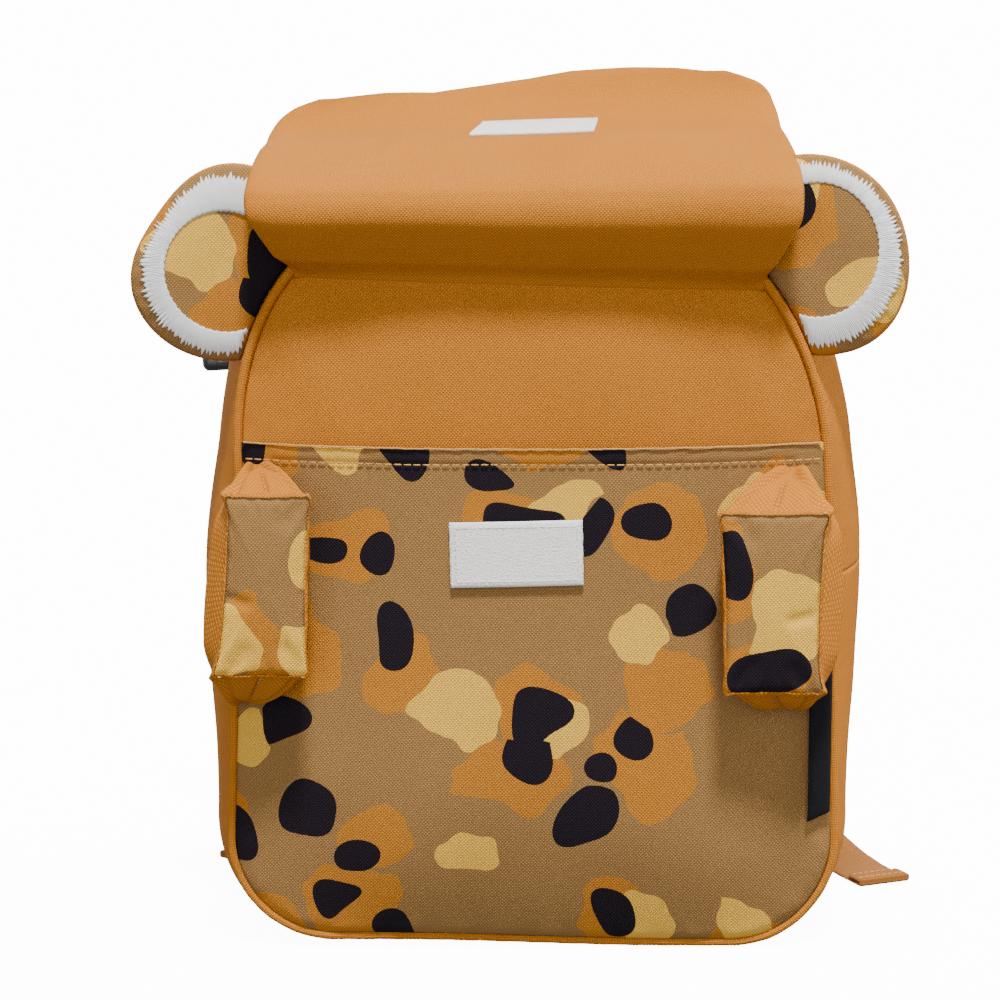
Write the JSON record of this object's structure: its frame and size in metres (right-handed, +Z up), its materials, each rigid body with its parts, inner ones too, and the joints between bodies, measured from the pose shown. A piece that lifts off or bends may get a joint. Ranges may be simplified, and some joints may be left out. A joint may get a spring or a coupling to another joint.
{
  "type": "kids animal backpack",
  "caption": "Child's padded backpack with animal ears, stuffed paws and a printed front pocket, its flap thrown back over the top",
  "frame": {"origin": "on the floor under the middle of the bag, on the gusset's flat bottom", "axes": "+Z up, the front faces -Y, +X to the viewer's right of the front"},
  "size_m": [0.3245, 0.2322, 0.3534],
  "materials": {
    "mustard_cloth": "coated oxford weave, dull",
    "printed_cloth": "coated oxford weave with a spotted print, dull",
    "webbing": "ribbed webbing",
    "zip_tape": "coil zip on woven tape",
    "white_thread": "satin stitch",
    "hook_fastener": "hook tape",
    "loop_fastener": "brushed loop tape",
    "woven_label": "black woven tape, bare",
    "black_plastic": "moulded, fine grain",
    "black_metal": "black enamel"
  },
  "bodies": {
    "root": {"front_panel": "mustard_cloth", "back_panel": "mustard_cloth", "front_pocket": "printed_cloth", "pocket_strip": "loop_fastener", "side_label": "woven_label", "front_piping": "mustard_cloth", "back_piping": "mustard_cloth", "lower_gusset": "mustard_cloth", "upper_gusset_front": "mustard_cloth", "upper_gusset_back": "mustard_cloth", "zip": "zip_tape", "zip_slider": "black_metal", "flap": "mustard_cloth", "flap_strip": "hook_fastener", "ear_left": "printed_cloth", "ear_right": "printed_cloth", "ear_embroidery_left": "white_thread", "ear_embroidery_right": "white_thread", "paw_left": "mustard_cloth", "paw_right": "mustard_cloth", "paw_face_left": "printed_cloth", "paw_face_right": "printed_cloth", "shoulder_strap_left": "mustard_cloth", "shoulder_strap_right": "mustard_cloth", "adjuster_left": "black_plastic", "adjuster_right": "black_plastic", "strap_webbing_left": "webbing", "strap_webbing_right": "webbing", "strap_anchor_left": "mustard_cloth", "strap_anchor_right": "mustard_cloth", "webbing_tail_left": "webbing", "webbing_tail_right": "webbing", "chest_strap_left": "webbing", "chest_strap_right": "webbing", "chest_clip_left": "black_plastic", "chest_clip_right": "black_plastic", "carry_handle": "webbing"}
  },
  "joints": []
}
